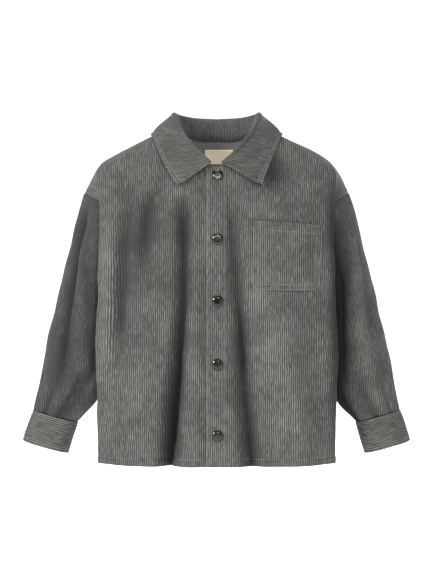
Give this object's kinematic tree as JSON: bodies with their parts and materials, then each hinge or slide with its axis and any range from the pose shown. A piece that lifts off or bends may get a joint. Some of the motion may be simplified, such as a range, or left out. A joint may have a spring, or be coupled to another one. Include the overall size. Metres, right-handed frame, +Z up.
{
  "type": "shacket",
  "caption": "Child's corduroy shacket with a pointed fold collar, dropped shoulders, cuffed long sleeves, a snap-front placket and a chest patch pocket, filled out hollow.",
  "frame": {"origin": "middle of the neck, level with the points where the shoulder seams meet the collar; the wearer's neck and shoulders hold the garment there", "axes": "+X to the wearer's left, across the outstretched width; -Y out of the front, +Y out of the back; +Z up, from hem to collar"},
  "size_m": [0.529, 0.1726, 0.4769],
  "materials": {
    "corduroy": "grey cotton corduroy, about nine wales to the inch, cut pile with a soft sheen",
    "label_cloth": "plain woven label tape, cream and tan, left bare",
    "snap_metal": "polished dark gunmetal"
  },
  "bodies": {
    "root": {"front_right": "corduroy", "front_left": "corduroy", "placket": "corduroy", "back": "corduroy", "collar": "corduroy", "sleeve_right": "corduroy", "sleeve_left": "corduroy", "cuff_right": "corduroy", "cuff_left": "corduroy", "pocket": "corduroy", "label": "label_cloth", "size_tab": "label_cloth", "snap_1": "snap_metal", "snap_2": "snap_metal", "snap_3": "snap_metal", "snap_4": "snap_metal", "snap_5": "snap_metal"}
  },
  "joints": []
}
